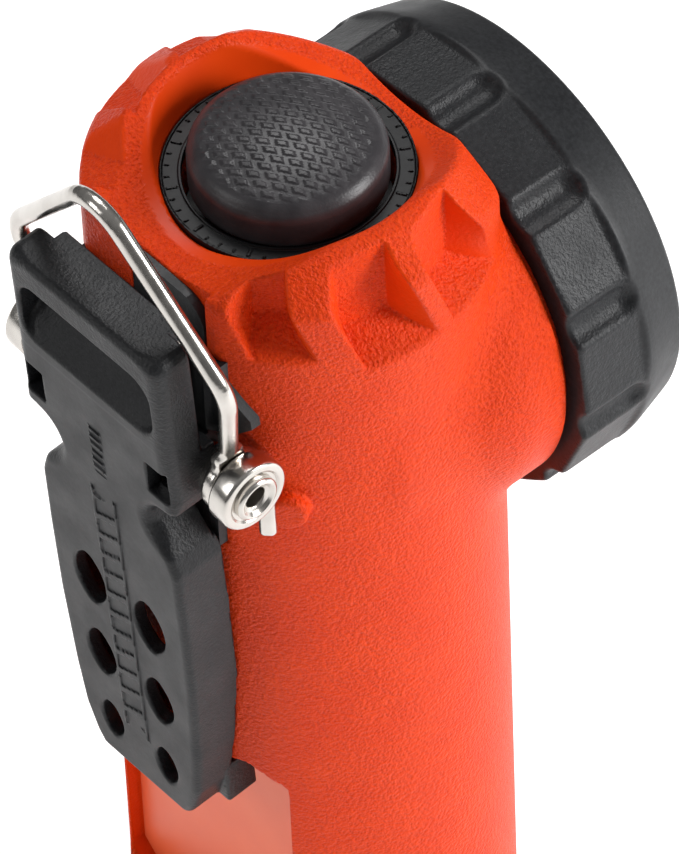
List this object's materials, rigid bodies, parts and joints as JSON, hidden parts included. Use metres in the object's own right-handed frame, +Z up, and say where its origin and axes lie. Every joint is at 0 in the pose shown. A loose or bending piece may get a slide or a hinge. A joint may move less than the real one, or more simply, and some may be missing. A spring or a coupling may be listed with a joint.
{
  "type": "firefighter flashlight",
  "caption": "Right-angle hand light with an angled head, top push button, screw-on facecap, spring belt clip, swinging D-ring and turning tail cap.",
  "frame": {"origin": "centre of the flat base, under the barrel axis", "axes": "+Z up along the barrel, -Y the way the beam leaves, +Y the back with the belt clip, +X completes the frame"},
  "size_m": [0.0693, 0.0785, 0.1926],
  "materials": {
    "orange_body": "fine pebbled orange-red moulding",
    "panel": "smooth satin salmon panel",
    "black_plastic": "charcoal glass-filled nylon",
    "button_rubber": "dark grey rubber with a fine raised pattern",
    "seal_rubber": "black rubber",
    "steel": "polished stainless steel",
    "inner_plastic": "dark grey moulding",
    "board": "green circuit board",
    "lens_clear": "clear polycarbonate",
    "mirror_cup": "vacuum-metallised cup",
    "heat_metal": "bare machined aluminium",
    "white_board": "white metal-core board",
    "phosphor": "yellow phosphor dome",
    "cell_wrap": "plain copper-coloured cell wrap"
  },
  "bodies": {
    "body": {"housing": "orange_body", "back_panel": "panel", "switch_ring": "black_plastic", "switch_body": "inner_plastic", "driver_board": "board", "terminal_plate": "inner_plastic", "reflector": "mirror_cup", "heat_sink": "heat_metal", "led_board": "white_board", "led_emitter": "phosphor", "head_oring": "seal_rubber", "clip_bracket": "black_plastic", "bracket_screws": "steel", "torsion_spring": "steel", "spring_anchor": "steel", "pivot_rivet": "steel", "pivot_washers": "steel", "pivot_spacers": "steel", "battery_carrier": "inner_plastic", "battery_cells": "cell_wrap", "cell_contacts": "steel", "button_spring": "steel", "tail_seal": "seal_rubber"},
    "button": {"switch_button": "button_rubber", "button_plunger": "inner_plastic"},
    "lens_unit": {"lens": "lens_clear", "lens_gasket": "seal_rubber"},
    "facecap": {"facecap": "black_plastic"},
    "d_ring": {"d_ring": "steel"},
    "clip": {"belt_clip": "black_plastic"},
    "tail_cap": {"tail_cap": "black_plastic", "tail_spring": "steel"}
  },
  "joints": [
    {"name": "button_press", "type": "slide", "parent": "body", "child": "button", "axis": [0, 0, -1], "range_m": [0, 0.0018], "stiffness_N_per_m": 1200, "springref_m": -0.001, "deforming": ["button_spring"]},
    {"name": "lens_travel", "type": "slide", "parent": "body", "child": "lens_unit", "axis": [0, -1, 0], "range_m": [0, 0.00151]},
    {"name": "facecap_turn", "type": "hinge", "parent": "lens_unit", "child": "facecap", "pos_m": [0, -0.03, 0.1368], "axis": [0, -1, 0], "range_deg": [0, 360]},
    {"name": "d_ring_swing", "type": "hinge", "parent": "body", "child": "d_ring", "pos_m": [0, 0.027, 0.1473], "axis": [-1, 0, 0], "range_deg": [-4, 142]},
    {"name": "clip_open", "type": "hinge", "parent": "body", "child": "clip", "pos_m": [0, 0.027, 0.1473], "axis": [1, 0, 0], "range_deg": [0, 9], "stiffness_Nm_per_rad": 0.25, "springref_deg": -22.92},
    {"name": "tail_cap_turn", "type": "hinge", "parent": "body", "child": "tail_cap", "pos_m": [0, 0, 0], "axis": [0, 0, -1], "range_deg": [0, 60]}
  ],
  "couplings": [
    {"joint": "lens_travel", "follows": "facecap_turn", "m_per_rad": 0.00023873}
  ]
}
